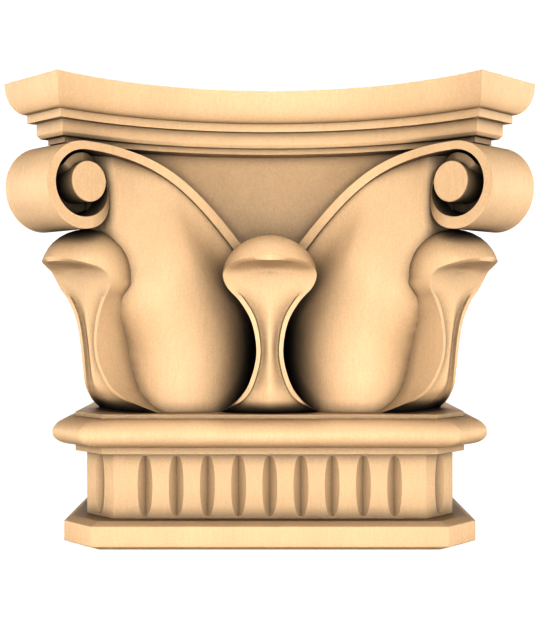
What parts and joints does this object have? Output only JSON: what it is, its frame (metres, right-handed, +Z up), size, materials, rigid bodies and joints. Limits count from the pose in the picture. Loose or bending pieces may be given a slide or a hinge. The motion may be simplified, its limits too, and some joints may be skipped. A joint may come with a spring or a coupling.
{
  "type": "corinthian capital",
  "caption": "Carved wooden column capital: fluted base block, bell with water leaves and corner scrolls, hollow-sided abacus.",
  "frame": {"origin": "centre of the flat underside of the base block", "axes": "+Z up along the column's axis; the four alike faces look along +X, -X, +Y and -Y"},
  "size_m": [0.3038, 0.3038, 0.2657],
  "materials": {
    "carved_wood": "satin"
  },
  "bodies": {
    "root": {"base": "carved_wood", "bell": "carved_wood", "abacus": "carved_wood"}
  },
  "joints": []
}
